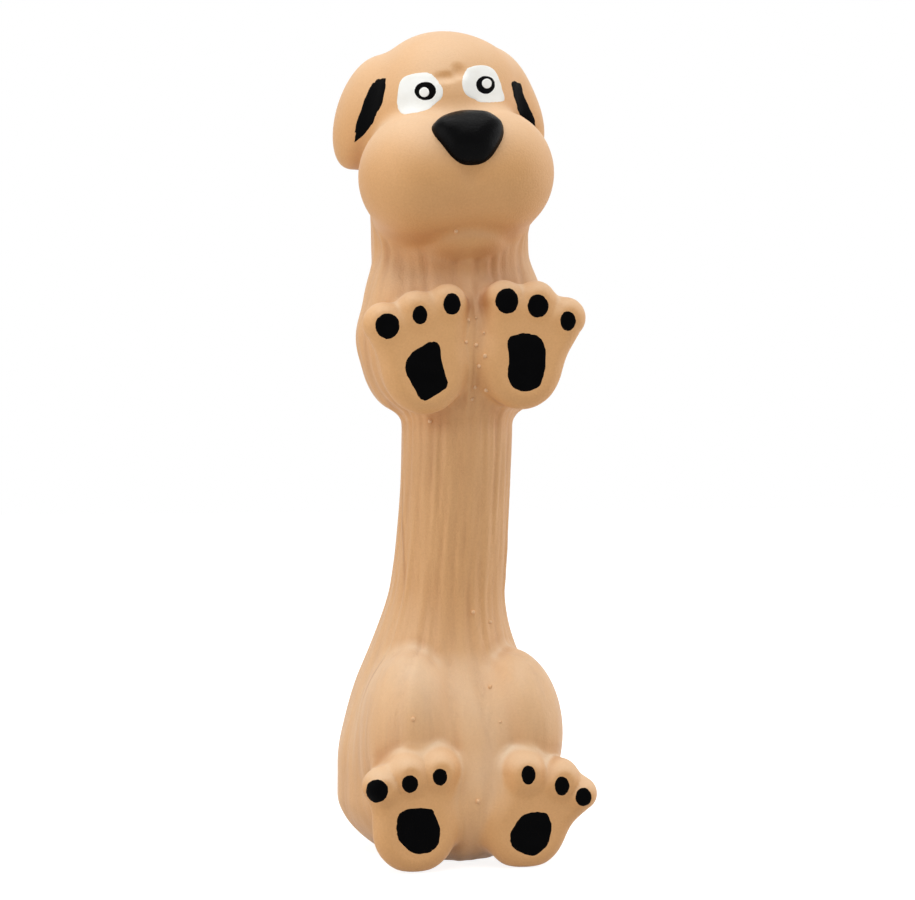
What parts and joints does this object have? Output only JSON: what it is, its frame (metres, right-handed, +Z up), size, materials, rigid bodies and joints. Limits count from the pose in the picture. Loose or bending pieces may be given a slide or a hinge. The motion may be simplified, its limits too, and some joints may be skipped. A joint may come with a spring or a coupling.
{
  "type": "squeaky dog toy",
  "caption": "Hollow latex dog toy sitting up, with a long fluted waist, round muzzle, hanging ears, painted eyes and paw pads, and a squeaker pressed into the base.",
  "frame": {"origin": "middle of the toy's box at the level of the base it stands on", "axes": "+Z up through the head, -Y the way the dog faces, +X the dog's own left side"},
  "size_m": [0.0814, 0.0858, 0.2797],
  "materials": {
    "latex": "matte tan latex with moulded streaks",
    "black_paint": "satin black flexible paint",
    "white_paint": "satin white flexible paint",
    "whistle_plastic": "moulded off-white plastic",
    "reed_film": "thin clear amber film"
  },
  "bodies": {
    "hips": {"hip_shell": "latex", "left_hind_leg": "latex", "right_hind_leg": "latex", "left_hind_heel_pad": "black_paint", "left_hind_inner_toe_pad": "black_paint", "left_hind_middle_toe_pad": "black_paint", "left_hind_outer_toe_pad": "black_paint", "right_hind_heel_pad": "black_paint", "right_hind_inner_toe_pad": "black_paint", "right_hind_middle_toe_pad": "black_paint", "right_hind_outer_toe_pad": "black_paint", "whistle_cup": "whistle_plastic", "whistle_cap": "whistle_plastic", "reed_block": "whistle_plastic", "reed_clamp": "whistle_plastic"},
    "reed": {"reed": "reed_film"},
    "lower_waist": {"lower_waist_shell": "latex"},
    "upper_waist": {"upper_waist_shell": "latex"},
    "chest": {"chest_shell": "latex", "left_foreleg": "latex", "right_foreleg": "latex", "left_fore_heel_pad": "black_paint", "left_fore_inner_toe_pad": "black_paint", "left_fore_middle_toe_pad": "black_paint", "left_fore_outer_toe_pad": "black_paint", "right_fore_heel_pad": "black_paint", "right_fore_inner_toe_pad": "black_paint", "right_fore_middle_toe_pad": "black_paint", "right_fore_outer_toe_pad": "black_paint"},
    "head": {"head_shell": "latex", "muzzle_shell": "latex", "left_ear": "latex", "right_ear": "latex", "left_ear_lining": "black_paint", "right_ear_lining": "black_paint", "nose": "black_paint", "left_eye_white": "white_paint", "right_eye_white": "white_paint", "left_pupil": "black_paint", "right_pupil": "black_paint", "left_eye_spot": "white_paint", "right_eye_spot": "white_paint"}
  },
  "joints": [
    {"name": "waist_bend", "type": "hinge", "parent": "hips", "child": "lower_waist", "pos_m": [0, 0.0042, 0.086], "axis": [1, 0, 0], "range_deg": [-20, 20], "stiffness_Nm_per_rad": 2},
    {"name": "waist_sway", "type": "hinge", "parent": "lower_waist", "child": "upper_waist", "pos_m": [0, -0.00205, 0.112], "axis": [0, 1, 0], "range_deg": [-15, 15], "stiffness_Nm_per_rad": 2},
    {"name": "squeeze", "type": "slide", "parent": "upper_waist", "child": "chest", "axis": [0, 0, 1], "range_m": [-0.008, 0], "stiffness_N_per_m": 1500},
    {"name": "neck_nod", "type": "hinge", "parent": "chest", "child": "head", "pos_m": [0, 0.00468, 0.199], "axis": [1, 0, 0], "range_deg": [-15, 12], "stiffness_Nm_per_rad": 3},
    {"name": "reed_flex", "type": "hinge", "parent": "hips", "child": "reed", "pos_m": [0, 0.00969, 0.0041], "axis": [-1, 0, 0], "range_deg": [0, 4], "stiffness_Nm_per_rad": 0.0002}
  ]
}
